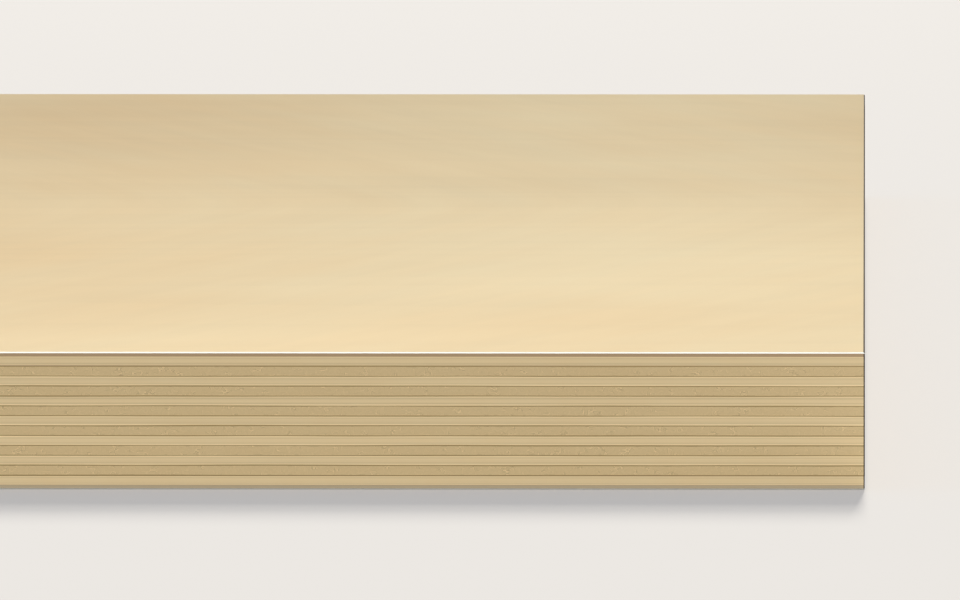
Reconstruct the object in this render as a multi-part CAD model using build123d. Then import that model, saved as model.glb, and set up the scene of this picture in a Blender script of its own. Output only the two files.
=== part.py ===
import os

from build123d import *

# Plywood sheet lying flat on its back veneer.
# The origin is the middle of the underside. X runs along the sheet's length and its
# face grain, Y across its width, Z up through the plies. All sizes are in mm.

# Sheet outline
SHEET_LENGTH = 2440
SHEET_WIDTH = 1220

# Cross-bonded core plies, all of one thickness
CORE_PLY_COUNT = 13
CORE_PLY_THICKNESS = 1.37

# Thin face and back veneers, each with its sawn edge eased by a flat arris
FACE_VENEER_THICKNESS = 0.6
FACE_ARRIS = 0.18
BACK_VENEER_THICKNESS = 0.6
BACK_ARRIS = 0.18

# Heights that follow from the above
CORE_BOTTOM = BACK_VENEER_THICKNESS
CORE_TOP = CORE_BOTTOM + CORE_PLY_COUNT * CORE_PLY_THICKNESS


def layer(bottom, thickness):
    """One flat sheet of veneer of the full outline, standing on the height given."""
    block = Box(
        SHEET_LENGTH,
        SHEET_WIDTH,
        thickness,
        align=(Align.CENTER, Align.CENTER, Align.MIN),
    )
    return Pos(0, 0, bottom) * block


def face_veneer():
    """The sheet's top layer, with the arris around its upper face."""
    sheet = layer(CORE_TOP, FACE_VENEER_THICKNESS)
    rim = sheet.faces().sort_by(Axis.Z)[-1].edges()
    return chamfer(rim, FACE_ARRIS)


def back_veneer():
    """The sheet's lowest layer, with the arris around its underside."""
    sheet = layer(0, BACK_VENEER_THICKNESS)
    rim = sheet.faces().sort_by(Axis.Z)[0].edges()
    return chamfer(rim, BACK_ARRIS)


def core_ply(number):
    """A ply of the core, counted from 1 just under the face veneer."""
    bottom = CORE_TOP - number * CORE_PLY_THICKNESS
    return layer(bottom, CORE_PLY_THICKNESS)


def save(name, shape):
    shape.label = name
    export_step(shape, f"parts/{name}.step")


os.makedirs("parts", exist_ok=True)
save("face_veneer", face_veneer())
for number in range(1, CORE_PLY_COUNT + 1):
    save(f"core_ply_{number:02d}", core_ply(number))
save("back_veneer", back_veneer())
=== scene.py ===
from math import pi

import bpy
import numpy as np
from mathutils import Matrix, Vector


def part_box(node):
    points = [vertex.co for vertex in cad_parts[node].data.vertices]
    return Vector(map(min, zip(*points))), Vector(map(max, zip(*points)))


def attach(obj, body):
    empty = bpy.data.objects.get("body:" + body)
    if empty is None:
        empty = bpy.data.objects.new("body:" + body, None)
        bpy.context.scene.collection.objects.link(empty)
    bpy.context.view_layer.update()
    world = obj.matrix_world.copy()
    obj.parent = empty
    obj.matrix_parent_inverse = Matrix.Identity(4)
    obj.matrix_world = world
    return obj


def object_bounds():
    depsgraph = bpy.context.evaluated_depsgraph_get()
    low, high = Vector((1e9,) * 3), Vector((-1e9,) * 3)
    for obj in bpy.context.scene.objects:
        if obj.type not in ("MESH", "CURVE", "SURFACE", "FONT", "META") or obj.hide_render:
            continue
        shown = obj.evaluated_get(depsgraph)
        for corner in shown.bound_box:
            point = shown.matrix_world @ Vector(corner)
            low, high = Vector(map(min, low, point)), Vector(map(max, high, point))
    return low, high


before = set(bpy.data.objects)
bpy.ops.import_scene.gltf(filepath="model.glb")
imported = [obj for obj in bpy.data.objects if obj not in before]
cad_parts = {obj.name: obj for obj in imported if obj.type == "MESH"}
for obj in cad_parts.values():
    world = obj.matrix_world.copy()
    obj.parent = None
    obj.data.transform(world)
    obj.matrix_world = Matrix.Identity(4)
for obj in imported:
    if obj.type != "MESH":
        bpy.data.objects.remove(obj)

cadLow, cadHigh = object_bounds()
millimetre = 0.001
halfLength = cadHigh.x
halfWidth = cadHigh.y
thickness = cadHigh.z
coreNodes = sorted(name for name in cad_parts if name.startswith("core_ply"))
scene = bpy.context.scene
print("stage: frame loaded,", len(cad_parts), "nodes,", len(coreNodes), "core plies")


# Node helpers

class Field:
    # A socket that adds and multiplies, so that a formula in a material reads as one
    def __init__(self, tree, socket):
        self.tree = tree
        self.socket = socket

    def math(self, operation, other=0.0):
        made = addNode(self.tree, "ShaderNodeMath", {0: self, 1: other}, operation=operation)
        return Field(self.tree, made.outputs[0])

    def __add__(self, other):
        return self.math("ADD", other)

    def __sub__(self, other):
        return self.math("SUBTRACT", other)

    def __rsub__(self, other):
        return self * -1 + other

    def __mul__(self, other):
        return self.math("MULTIPLY", other)

    __radd__ = __add__
    __rmul__ = __mul__

    def size(self):
        return self.math("ABSOLUTE")

    def ramp(self, low, high, bottom=0.0, top=1.0):
        # bottom below low, top above high, and an eased way between
        made = addNode(
            self.tree, "ShaderNodeMapRange",
            {"Value": self, "From Min": low, "From Max": high, "To Min": bottom, "To Max": top},
            interpolation_type="SMOOTHSTEP",
        )
        return Field(self.tree, made.outputs["Result"])

    def fall(self, low, high):
        # 1 below low and 0 above high
        return self.ramp(low, high, 1.0, 0.0)

    def band(self, start, full, fading, end):
        # 1 from full to fading, and 0 before start and after end
        return self.ramp(start, full) * self.fall(fading, end)


def feed(tree, socket, value):
    # links a field or another node's socket, or sets a number, a vector or a colour
    if isinstance(value, Field):
        tree.links.new(value.socket, socket)
    elif isinstance(value, bpy.types.NodeSocket):
        tree.links.new(value, socket)
    elif socket.type == "RGBA":
        socket.default_value = (*value, 1.0)
    else:
        socket.default_value = value


def addNode(tree, kind, inputs=None, **settings):
    made = tree.nodes.new(kind)
    for name, value in settings.items():
        setattr(made, name, value)
    for name, value in (inputs or {}).items():
        feed(tree, made.inputs[name], value)
    return made


def newTree(name):
    material = bpy.data.materials.new(name)
    material.use_nodes = True
    tree = material.node_tree
    tree.nodes.clear()
    return material, tree


def pattern(tree, kind, place, seed=0.0):
    # Noise from -0.5 to 0.5 whose cells have the kind's sizes in mm. place is two fields on the
    # faces, where the seed picks a slice of it, and three on the edges, where it moves the third
    parts = [part * (1 / size) for part, size in zip(place, kind["cell"])]
    seed = seed + kind.get("shift", 0.0)
    depth = parts[2] + seed if len(parts) == 3 else seed
    point = addNode(tree, "ShaderNodeCombineXYZ", {0: parts[0], 1: parts[1], 2: depth})
    made = addNode(
        tree, "ShaderNodeTexNoise",
        {
            "Vector": point.outputs[0], "Scale": 1.0, "Detail": kind["detail"],
            "Roughness": kind.get("roughness", 0.5),
        },
    )
    return Field(tree, made.outputs[0]) - 0.5


def blendColour(tree, share, first, second):
    inputs = {0: share, 6: first, 7: second}  # the node's factor and its two colours
    return addNode(tree, "ShaderNodeMix", inputs, data_type="RGBA", blend_type="MIX").outputs[2]


def toned(tree, colour, brightness, warmth):
    # colour times brightness, with blue and half as much green taken out where warmth is above 0
    factors = addNode(
        tree, "ShaderNodeCombineXYZ",
        {0: brightness, 1: brightness * (1 - 0.5 * warmth), 2: brightness * (1 - 1.0 * warmth)},
    )
    inputs = {0: colour, 1: factors.outputs[0]}
    return addNode(tree, "ShaderNodeVectorMath", inputs, operation="MULTIPLY").outputs[0]


def surfaceFields(tree):
    # the place on the object in mm, and the sizes of the three parts of its normal
    where = addNode(tree, "ShaderNodeTexCoord")
    place = addNode(tree, "ShaderNodeSeparateXYZ", {0: where.outputs["Object"]})
    facing = addNode(tree, "ShaderNodeSeparateXYZ", {0: where.outputs["Normal"]})
    fields = [Field(tree, socket) * (1 / millimetre) for socket in place.outputs]
    return fields, [Field(tree, socket).size() for socket in facing.outputs]


bump = {"strength": 0.3, "depth": 0.05}  # depth in mm


def addShader(tree, colour, roughness, specular, height=None):
    inputs = {"Base Color": colour, "Roughness": roughness, "Specular IOR Level": specular}
    if height is not None:
        relief = {"Strength": bump["strength"], "Distance": bump["depth"] * millimetre, "Height": height}
        inputs["Normal"] = addNode(tree, "ShaderNodeBump", relief).outputs[0]
    shader = addNode(tree, "ShaderNodeBsdfPrincipled", inputs)
    output = addNode(tree, "ShaderNodeOutputMaterial")
    tree.links.new(shader.outputs[0], output.inputs[0])
    return shader


# Wood. A pattern's cells are in mm: on a face along and across the grain, on an edge along the
# first and the second horizontal way and upright. A shift sets its noise apart from the others

wood = {
    "roughness": 0.74,
    "specular": 0.1,
    # how large the normal's part is on a level face, on an arris and on an upright face
    "level": (0.9, 0.95),
    "arris": (0.3, 0.4, 0.8, 0.9),
    "side": (0.4, 0.6),
}
veneer = {
    "face": (0.798, 0.637, 0.391),  # sanded face
    "edge": (0.384, 0.274, 0.162),  # sawn edge of the face veneer
    "backEdge": (0.46, 0.38, 0.254),  # sawn edge of the back veneer
    "paintedArrisHighlight": (0.87, 0.87, 0.80),  # painted highlight: a near-white colour on the eased arrises of the long edges, top and bottom
    "seed": 3.0,
    "backSeed": 31.0,
    "edgeLine": 0.10,  # strength of the lines along a sawn edge
    "edgeHue": 0.05,  # strength of its warmer and cooler places
    "cloud": 0.10,  # strength of the broad tone clouds
    "flame": 0.2,  # strength of the darker, redder bands across the grain
    "hue": 0.2,  # strength of the warmer and cooler bands
    "waver": 80,  # mm, how far these bands stray
    "calm": 0.55,  # share of these bands away from the right end
    "fleck": 0.10,  # strength of the small warmer and cooler streaks
    "growth": 0.065,  # depth of the growth figure
    "rings": 16,  # its lines for one unit of its noise
    "darkening": (0.25, 0.9),  # share of a ring over which it darkens, and then ends
    "quiet": 0.2,  # share of the growth figure that is left at the right end
    "nearEnd": (700, 1100),  # mm from the middle over which the right end begins
    "fibre": 0.035,  # strength of the fine fibres
    "fibreHeight": 0.5,
    "fibreRoughness": 0.2,
    "pore": 0.06,  # depth of the short dark pores
    "poreStart": (0.17, 0.25),  # noise above which there is a pore
    "poreHeight": 0.3,
    "ripple": 0.04,  # strength of the faint curl across the grain
    "patch": 0.05,  # strength of the broader curl
    "lean": 0.17,  # share of the way across the sheet by which the curl leans along it
    "leanBend": 60,  # mm from the middle over which the lean turns round
    "patterns": {
        "cloud": {"cell": (420, 260), "detail": 2.0},
        "waver": {"cell": (300, 200), "detail": 1.0, "shift": 29.0},
        "flame": {"cell": (120, 450), "detail": 1.0, "shift": 167.6},
        "hue": {"cell": (70, 300), "detail": 1.0, "shift": 19.9},
        "growth": {"cell": (1500, 230), "detail": 2.0, "roughness": 0.4, "shift": 3.0},
        "fibre": {"cell": (170, 1.7), "detail": 3.0, "roughness": 0.6, "shift": 11.0},
        "pore": {"cell": (8, 0.5), "detail": 1.0, "shift": 13.0},
        "ripple": {"cell": (3.4, 75), "detail": 2.0, "shift": 17.0},
        "patch": {"cell": (11, 170), "detail": 1.0, "shift": 19.0},
        "fleck": {"cell": (13, 140), "detail": 1.0, "shift": 23.0},
        "edgeLine": {"cell": (70, 70, 0.4), "detail": 2.0},
        "edgeHue": {"cell": (9, 9, 1.2), "detail": 1.0},
    },
}
core = {
    "longEdge": (0.682, 0.537, 0.313),  # sawn edge that runs along a ply's grain
    "crossEdge": (0.578, 0.441, 0.241),  # sawn edge across a ply's grain
    "seed": 40.0,
    "seedStep": 5.3,
    "paintedLowerPlyLight": 0.007,  # painted light: each ply is made this much paler than the one above it, against the shade that falls on the lower plies
    "plainPly": 5.5,  # number from the top of the ply that has the plain tone
    "line": 0.27,  # strength of the fine lines along the grain
    "fineLine": 0.03,
    "rim": 0.13,  # how much paler the wood is beside a glue line
    "rimReach": (0.09, 0.17),  # mm inside the visible edge
    "shade": 0.08,  # how much darker it is just inside that
    "shadeReach": (0.13, 0.20, 0.30, 0.42),  # mm
    "longHue": 0.08,  # strength of the warmer and cooler places along the grain
    "lightMark": 0.21,  # curled marks in the end grain
    "lightMarkReach": (0.02, 0.05, 0.08, 0.12),  # noise
    "darkMark": 0.21,
    "darkMarkReach": (-0.09, -0.06, -0.02, 0.01),  # noise
    "clusterReach": (0.05, 0.15),  # noise over which the marks' clusters begin
    "loose": 0.2,  # share of the marks outside the clusters
    "stroke": 0.035,  # short upright marks
    "strokeStart": (0.25, 0.30),  # noise above which there is one
    "tongue": 0.14,  # glue drawn into the end grain
    "tongueStart": (0.10, 0.18),  # noise above which there is a tongue
    "tongueReach": (0.04, 0.12),  # mm inside the visible edge
    "crossLine": 0.03,  # strength of the long lines on the end grain
    "crossRim": 0.026,  # how much paler the end grain is beside a glue line
    "crossHue": 0.05,  # strength of its warmer and cooler places
    "lineRoughness": 0.15,
    "lineHeight": 0.5,
    "markHeight": 0.2,
    "seam": 0.055,  # mm of the outer plies that the glue of the veneers has turned brown
    "seamFade": 0.01,  # mm
    "hidden": 10,  # mm that the hidden faces count as inside, which leaves them plain
    "patterns": {
        "line": {"cell": (1200, 1200, 0.5), "detail": 2.0},
        "fineLine": {"cell": (14, 14, 0.16), "detail": 1.0},
        "longHue": {"cell": (6, 6, 1.2), "detail": 1.0},
        "curled": {"cell": (0.46, 0.46, 0.4), "detail": 0.0},
        "cluster": {"cell": (1.5, 1.5, 0.9), "detail": 1.0},
        "stroke": {"cell": (0.45, 0.45, 1.3), "detail": 0.0},
        "tongue": {"cell": (1.1, 1.1, 10 / 3), "detail": 1.0},
        "crossHue": {"cell": (7, 7, 1.2), "detail": 1.0},
    },
}
paintedEndShade = {
    "colour": (0.03, 0.022, 0.017),  # painted shade: near black, where the ends' arrises and the upright corners fall into shadow
    "width": 0.15,  # mm of the long edges at each upright corner
    "fade": 0.01,  # mm
}
glue = {
    "colour": (0.362, 0.268, 0.124),
    "mottle": 0.22,  # strength of its darker and paler places
    "pattern": {"cell": (12, 12, 0.8), "detail": 2.0},
    "roughness": 0.6,
    "mottleRoughness": 0.1,
    "specular": 0.1,
    "halfHeight": 0.078,  # mm, half the line's width on the sawn edge
    "proud": 0.02,  # mm that the bead stands out of the edge
    "depth": 0.3,  # mm that it reaches into the wood
    "root": 0.6,  # its half height in the wood, as a share of that on the edge
    "arcPoints": 5,  # points of its section outside the edge
    "step": 5.0,  # mm between sections along the edge
    "wander": 0.016,  # mm, how far the line strays up and down
    "swelling": 0.16,  # share by which its width varies
    "waves": 40,
    "longestWave": 500.0,  # mm
    "shortestWave": 20.0,  # mm
    "seed": 100,
}


def paintCornerShade(tree, colour, x, facingY):
    # painted shade: the long edges turn near black within the width at each end
    start = halfLength / millimetre - paintedEndShade["width"]
    share = x.size().ramp(start - paintedEndShade["fade"], start) * facingY.ramp(*wood["side"])
    return blendColour(tree, share, colour, paintedEndShade["colour"])


def faceFigure(tree, x, y, seed):
    def figure(name, along):
        return pattern(tree, veneer["patterns"][name], (along, y), seed)

    # broad tone clouds, and wavering bands across the grain in tone and in hue
    cloud = figure("cloud", x)
    wavering = x + veneer["waver"] * figure("waver", x)
    nearEnd = x.ramp(*veneer["nearEnd"])
    banded = nearEnd * (1 - veneer["calm"]) + veneer["calm"]
    flame = figure("flame", wavering) * banded
    hue = figure("hue", wavering) * banded
    # growth figure: the contour lines of a broad field that is drawn out along the grain, each
    # line darkening slowly and ending sharply
    start, darkest = veneer["darkening"]
    growth = (figure("growth", x) * veneer["rings"]).math("FRACT").band(start, darkest, darkest, 1.0)
    growth = growth * (1 - (1 - veneer["quiet"]) * nearEnd)
    # fine fibres and short pores along the grain
    fibre = figure("fibre", x)
    pore = figure("pore", x).ramp(*veneer["poreStart"])
    # curl: faint ripples across the grain that lean towards the right end in the middle
    leaning = x + (y * y + veneer["leanBend"] ** 2).math("SQRT") * veneer["lean"]
    ripple = figure("ripple", leaning)
    patch = figure("patch", leaning)
    fleck = figure("fleck", leaning)
    tone = (
        1 + veneer["cloud"] * cloud + veneer["flame"] * flame - veneer["growth"] * growth
        + veneer["fibre"] * fibre - veneer["pore"] * pore + veneer["ripple"] * ripple
        + veneer["patch"] * patch
    )
    warmth = veneer["fleck"] * fleck - veneer["hue"] * hue - veneer["flame"] * flame
    height = veneer["fibreHeight"] * fibre - veneer["poreHeight"] * pore
    return toned(tree, veneer["face"], tone, warmth), height, fibre


def veneerMaterial(name, edge, seed):
    material, tree = newTree(name)
    place, (facingX, facingY, facingZ) = surfaceFields(tree)
    x, y, z = place
    faceColour, height, fibre = faceFigure(tree, x, y, seed)
    line = pattern(tree, veneer["patterns"]["edgeLine"], place, seed)
    hue = pattern(tree, veneer["patterns"]["edgeHue"], place, seed)
    colour = toned(tree, edge, 1 + veneer["edgeLine"] * line, veneer["edgeHue"] * hue)
    # painted shade at the upright corners of the sawn edge
    colour = paintCornerShade(tree, colour, x, facingY)
    level = facingZ.ramp(*wood["level"])
    colour = blendColour(tree, level, colour, faceColour)
    arris = facingZ.band(*wood["arris"])
    # painted highlight: the arrises of the long edges take a near-white colour
    colour = blendColour(tree, arris * facingY.ramp(*wood["side"]), colour, veneer["paintedArrisHighlight"])
    # painted shade: the ends' arrises take the near-black colour
    colour = blendColour(tree, arris * facingX.ramp(*wood["side"]), colour, paintedEndShade["colour"])
    roughness = wood["roughness"] + veneer["fibreRoughness"] * fibre
    addShader(tree, colour, roughness, wood["specular"], height * level)
    return material


def longGrain(tree, place, seed, base, inward, line):
    # along the grain: fine lines that run on for decimetres, paler beside the glue and darker
    # just inside that
    fineLine = pattern(tree, core["patterns"]["fineLine"], place, seed)
    hue = pattern(tree, core["patterns"]["longHue"], place, seed)
    rim = inward.fall(*core["rimReach"])
    shade = inward.band(*core["shadeReach"])
    tone = (
        base + core["line"] * line + core["fineLine"] * fineLine + core["rim"] * rim
        - core["shade"] * shade
    )
    return toned(tree, core["longEdge"], tone, core["longHue"] * hue)


def crossGrain(tree, place, seed, base, inward, line, curled):
    # across the grain: short curled marks in loose clusters, light beside dark, upright strokes
    # and dark tongues of glue
    cluster = pattern(tree, core["patterns"]["cluster"], place, seed)
    stroke = pattern(tree, core["patterns"]["stroke"], place, seed).ramp(*core["strokeStart"])
    drawn = pattern(tree, core["patterns"]["tongue"], place, seed)
    hue = pattern(tree, core["patterns"]["crossHue"], place, seed)
    marked = cluster.ramp(*core["clusterReach"], core["loose"], 1.0)
    lightMark = curled.band(*core["lightMarkReach"])
    darkMark = curled.band(*core["darkMarkReach"])
    tongue = drawn.ramp(*core["tongueStart"]) * inward.fall(*core["tongueReach"])
    rim = inward.fall(*core["rimReach"])
    tone = (
        base + marked * (core["lightMark"] * lightMark - core["darkMark"] * darkMark)
        + core["stroke"] * stroke + core["crossLine"] * line + core["crossRim"] * rim
        - core["tongue"] * tongue
    )
    return toned(tree, core["crossEdge"], tone, core["crossHue"] * hue)


def plyMaterial(name, grainAxis, seed, base, low, high, coveredBelow, coveredAbove):
    # base is the ply's tone beside the other plies, with the lower plies painted paler against the shade
    # near the floor; low and high are its faces in mm, and covered is how much of it a glue line hides
    # there
    material, tree = newTree(name)
    (x, y, z), (facingX, facingY, facingZ) = surfaceFields(tree)
    along, across = (x, y) if grainAxis == "x" else (y, x)
    # how far inside the visible edge a point is
    inward = (z - (low + coveredBelow)).math("MINIMUM", (high - coveredAbove) - z)
    inward = inward + core["hidden"] * facingZ
    line = pattern(tree, core["patterns"]["line"], (along, across, z), seed)
    curled = pattern(tree, core["patterns"]["curled"], (across, along, z), seed)
    longColour = longGrain(tree, (along, across, z), seed, base, inward, line)
    crossColour = crossGrain(tree, (across, along, z), seed, base, inward, line, curled)

    # the hidden faces have the tone of the long edges
    onEnd = facingX.ramp(*wood["side"])
    if grainAxis == "x":
        colour = blendColour(tree, onEnd, longColour, crossColour)
    else:
        colour = blendColour(tree, onEnd, crossColour, longColour)
    if not (coveredBelow and coveredAbove):
        seam = inward.fall(core["seam"] - core["seamFade"], core["seam"])
        colour = blendColour(tree, seam, colour, veneer["edge"])
    # painted shade at the upright corners
    colour = paintCornerShade(tree, colour, x, facingY)
    roughness = wood["roughness"] + core["lineRoughness"] * line
    height = core["lineHeight"] * line + core["markHeight"] * curled
    addShader(tree, colour, roughness, wood["specular"], height)
    return material


def dress(node, material):
    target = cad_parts[node]
    target.data.materials.clear()
    target.data.materials.append(material)


dress("face_veneer", veneerMaterial("faceVeneer", veneer["edge"], veneer["seed"]))
dress("back_veneer", veneerMaterial("backVeneer", veneer["backEdge"], veneer["backSeed"]))
for number, node in enumerate(coreNodes, start=1):
    low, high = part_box(node)
    dress(node, plyMaterial(
        f"corePly{number:02d}",
        "x" if number % 2 else "y",
        core["seed"] + core["seedStep"] * number,
        # painted light: the lower plies are paler, against the shade near the floor
        1 + core["paintedLowerPlyLight"] * (number - core["plainPly"]),
        low.z / millimetre,
        high.z / millimetre,
        glue["halfHeight"] if number < len(coreNodes) else 0.0,
        glue["halfHeight"] if number > 1 else 0.0,
    ))
print("stage: veneers and core plies dressed")


# Glue lines between the core plies

def glueMaterial():
    material, tree = newTree("glue")
    place, (facingX, facingY, facingZ) = surfaceFields(tree)
    tone = 1 + glue["mottle"] * pattern(tree, glue["pattern"], place)
    # painted shade at the upright corners of the bead
    colour = paintCornerShade(tree, toned(tree, glue["colour"], tone, 0.0), place[0], facingY)
    addShader(tree, colour, glue["roughness"] + glue["mottleRoughness"] * tone, glue["specular"])
    return material


def sidePath(step):
    # Points round the sheet's outline, each with the way out of the sheet: along a side that
    # is the side's normal, and at a corner the sum of both normals
    xs = np.linspace(-halfLength, halfLength, int(2 * halfLength / step) + 1)
    ys = np.linspace(-halfWidth, halfWidth, int(2 * halfWidth / step) + 1)
    front = np.stack([xs, np.full_like(xs, -halfWidth)], 1)
    right = np.stack([np.full_like(ys, halfLength), ys], 1)
    points = np.concatenate([front[:-1], right[:-1], -front[:-1], -right[:-1]])
    reach = np.array([halfLength, halfWidth])
    onSide = np.isclose(np.abs(points), reach, rtol=0, atol=1e-9)
    return points, np.sign(points) * onSide


def waves(distance, perimeter, rng):
    # A sum of cosines that closes on itself: each has a whole number of periods in the
    # perimeter and a phase of its own, and the sum is scaled to a spread of 1
    periods = np.unique(np.geomspace(
        perimeter / (glue["longestWave"] * millimetre),
        perimeter / (glue["shortestWave"] * millimetre),
        glue["waves"],
    ).round())
    phase = rng.uniform(0, 2 * pi, len(periods))
    total = np.cos(2 * pi * distance[:, None] / perimeter * periods + phase).sum(1)
    return total / total.std()


def glueLine(name, height, seed, material):
    # A bead carried round the outline. Its section is half an ellipse outside the edge, closed
    # by two points inside the wood
    rng = np.random.default_rng(seed)
    points, outward = sidePath(glue["step"] * millimetre)
    legs = np.linalg.norm(np.roll(points, -1, 0) - points, axis=1)
    perimeter = legs.sum()
    distance = np.concatenate([[0], np.cumsum(legs)[:-1]])
    middle = height + glue["wander"] * millimetre * waves(distance, perimeter, rng)
    half = glue["halfHeight"] * millimetre * (1 + glue["swelling"] * waves(distance, perimeter, rng))
    turn = np.linspace(-pi / 2, pi / 2, glue["arcPoints"])
    out = np.concatenate([glue["proud"] * np.cos(turn), [-glue["depth"]] * 2]) * millimetre
    up = np.concatenate([np.sin(turn), [glue["root"], -glue["root"]]])
    corners = np.empty((len(points), len(out), 3))
    corners[:, :, :2] = points[:, None] + outward[:, None] * out[None, :, None]
    corners[:, :, 2] = middle[:, None] + half[:, None] * up
    # each corner of a section is joined to the same one of the next section
    count, ring = corners.shape[:2]
    i, j = np.meshgrid(np.arange(count), np.arange(ring), indexing="ij")
    nextI, nextJ = (i + 1) % count, (j + 1) % ring
    faces = np.stack([i * ring + j, nextI * ring + j, nextI * ring + nextJ, i * ring + nextJ], -1)
    mesh = bpy.data.meshes.new(name)
    mesh.from_pydata(corners.reshape(-1, 3).tolist(), [], faces.reshape(-1, 4).tolist())
    mesh.materials.append(material)
    piece = bpy.data.objects.new(name, mesh)
    scene.collection.objects.link(piece)
    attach(piece, "root")
    return piece


glueFinish = glueMaterial()
glueLines = []
for number, node in enumerate(coreNodes[:-1], start=1):
    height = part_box(node)[0].z  # the ply's underside
    glueLines.append(glueLine(f"glue_line_{number:02d}", height, glue["seed"] + number, glueFinish))
print("stage: glue lines made")


# Floor, lamps and world

floor = {
    "colour": (0.84, 0.808, 0.768),  # as it looks where nothing shades it
    "glow": 0.3,  # share of that look that the camera sees unlit, which softens the shadow
    "shadeHue": (0.84, 0.86, 0.94),  # colour of the unlit share, as shade on a floor is cooler
    "roughness": 0.9,
    "reach": 70.0,  # metres from the middle to each side
    "drop": 0.00001,  # metres below the sheet
}
corner = Vector((halfLength, -halfWidth, 0))  # the corner that the photo shows
# Places and sizes are in metres, and places and aims start from that corner. A share is the light
# that a lamp gives a level surface there, where 1 in all shows a colour as it is written
lamps = {
    "key": {
        "place": (1.5, -9.9, 6.9), "aim": (0, 0, 0), "size": (3.0, 3.0), "share": 0.22,
        "on": "all",
    },
    "overhead": {
        "place": (-1.22, -0.8, 2.4), "aim": (-1.22, -0.8, 0), "size": (5.0, 0.8), "share": 0.44,
        "on": "sheet",
    },
    "lowBehind": {
        "place": (0.35, 40.0, 9.12), "aim": (0, 0, 0), "size": (1.4, 4.52), "share": 0.41,
        "on": "floor",
    },
    "tallBehind": {
        "place": (0.35, 40.0, 12.1), "aim": (0, 0, 0), "size": (1.4, 10.5), "share": 0.58,
        "on": "floor",
    },
}
world = {"light": 0.42, "background": (0.84, 0.808, 0.768)}


def seenDirectly(tree):
    # 1 for what the camera sees by itself or in a glossy or clear surface
    path = addNode(tree, "ShaderNodeLightPath")
    rays = [Field(tree, path.outputs[f"Is {kind} Ray"]) for kind in ("Camera", "Glossy", "Transmission")]
    return rays[0].math("MAXIMUM", rays[1]).math("MAXIMUM", rays[2])


def makeFloor():
    material, tree = newTree("floor")
    light = world["light"] + sum(lamp["share"] for lamp in lamps.values() if lamp["on"] != "sheet")
    seen = seenDirectly(tree)
    glow = [floor["glow"] * part for part in floor["shadeHue"]]
    lit = tuple(part / light for part in floor["colour"])
    dimmed = tuple((part - unlit) / light for part, unlit in zip(floor["colour"], glow))
    shader = addShader(tree, blendColour(tree, seen, lit, dimmed), floor["roughness"], 0.0)
    feed(tree, shader.inputs["Emission Color"], floor["shadeHue"])
    feed(tree, shader.inputs["Emission Strength"], seen * floor["glow"])
    signs = np.array([(-1, -1), (1, -1), (1, 1), (-1, 1)])
    corners = np.column_stack([signs * floor["reach"], np.full(4, -floor["drop"])])
    mesh = bpy.data.meshes.new("floor")
    mesh.from_pydata(corners.tolist(), [], [(0, 1, 2, 3)])
    mesh.materials.append(material)
    made = bpy.data.objects.new("floor", mesh)
    scene.collection.objects.link(made)
    return made


def makeLamp(name, lamp, receivers):
    place, aim = corner + Vector(lamp["place"]), corner + Vector(lamp["aim"])
    light = bpy.data.lights.new(name, "AREA")
    light.shape = "RECTANGLE"
    light.size, light.size_y = lamp["size"]
    made = bpy.data.objects.new(name, light)
    made.location = place
    made.rotation_mode = "QUATERNION"
    turn = (place - aim).to_track_quat("Z", "Y")
    made.rotation_quaternion = turn
    # one watt gives the mean over the lamp's face of both cosines over the distance squared,
    # divided by pi, and full white is pi. The mean is taken over ten by ten spots of the face
    part = np.linspace(-0.45, 0.45, 10)
    across, up = np.meshgrid(part * light.size, part * light.size_y)
    spots = across[..., None] * np.array(turn @ Vector((1, 0, 0)))
    spots = spots + up[..., None] * np.array(turn @ Vector((0, 1, 0))) + np.array(place - corner)
    distance = np.linalg.norm(spots, axis=-1)
    cosines = (spots @ np.array(turn @ Vector((0, 0, 1)))) * spots[..., 2] / distance ** 2
    light.energy = lamp["share"] * pi ** 2 / (cosines / distance ** 2).mean()
    made.visible_camera = False
    if receivers is not None:
        made.light_linking.receiver_collection = receivers
    scene.collection.objects.link(made)


def group(name, objects):
    made = bpy.data.collections.new(name)
    for item in objects:
        made.objects.link(item)
    return made


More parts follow.
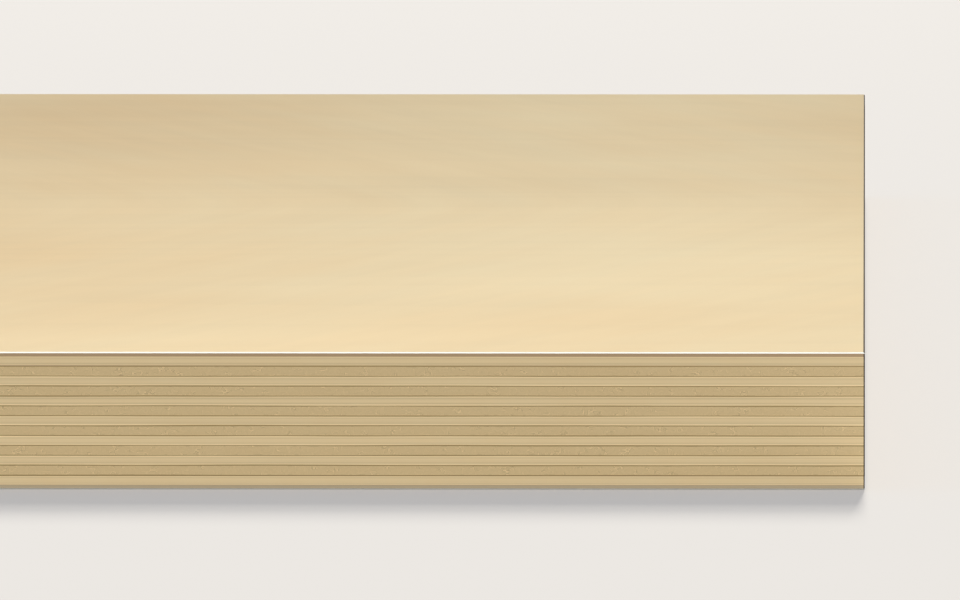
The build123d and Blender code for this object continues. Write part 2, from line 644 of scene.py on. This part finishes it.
def makeWorld():
    made = bpy.data.worlds.new("studio")
    scene.world = made
    made.use_nodes = True
    tree = made.node_tree
    tree.nodes.clear()
    light = addNode(tree, "ShaderNodeBackground", {0: (1, 1, 1), 1: world["light"]})
    backdrop = addNode(tree, "ShaderNodeBackground", {0: world["background"], 1: 1.0})
    mix = addNode(
        tree, "ShaderNodeMixShader",
        {0: seenDirectly(tree), 1: light.outputs[0], 2: backdrop.outputs[0]},
    )
    output = addNode(tree, "ShaderNodeOutputWorld")
    tree.links.new(mix.outputs[0], output.inputs[0])


receivers = {
    "all": None,
    "floor": group("litFloor", [makeFloor()]),
    "sheet": group("litSheet", [*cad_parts.values(), *glueLines]),
}
for name, lamp in lamps.items():
    makeLamp(name, lamp, receivers[lamp["on"]])
makeWorld()
print("stage: floor, lamps and world made")


# Camera: far off and low, in the plane of the right end, as the photo has no convergence

photoView = {
    "lens": 1000.0,
    "sensor": 36.0,
    "width": 960,
    "height": 600,
    "distance": 3.680,  # metres in front of the front edge
    "rise": 0.1431,  # metres above the top face
    "rightEnd": 865.0,  # pixels of the photo
    "frontArris": 352.1,
    "near": 0.05,  # metres, where the camera's view begins
    "far": 300.0,  # metres, where it ends
}


def makeCamera():
    data = bpy.data.cameras.new("camera")
    data.sensor_width = photoView["sensor"]
    data.lens = photoView["lens"]
    data.clip_start = photoView["near"]
    data.clip_end = photoView["far"]
    made = bpy.data.objects.new("camera", data)
    made.location = (halfLength, -halfWidth - photoView["distance"], thickness + photoView["rise"])
    # the ray to the right end of the front arris goes through its pixel
    focalPixels = photoView["lens"] / photoView["sensor"] * photoView["width"]
    right = (photoView["rightEnd"] - photoView["width"] / 2) / focalPixels
    down = (photoView["frontArris"] - photoView["height"] / 2) / focalPixels
    yaw = np.arctan(right)
    arrisPitch = np.arctan(photoView["rise"] / photoView["distance"] * np.cos(yaw))
    pitch = arrisPitch - np.arctan(down * np.cos(yaw))
    made.rotation_euler = (pi / 2 - pitch, 0, yaw)
    scene.collection.objects.link(made)
    scene.camera = made


makeCamera()
scene.view_settings.view_transform = "Standard"
print("stage: camera made")
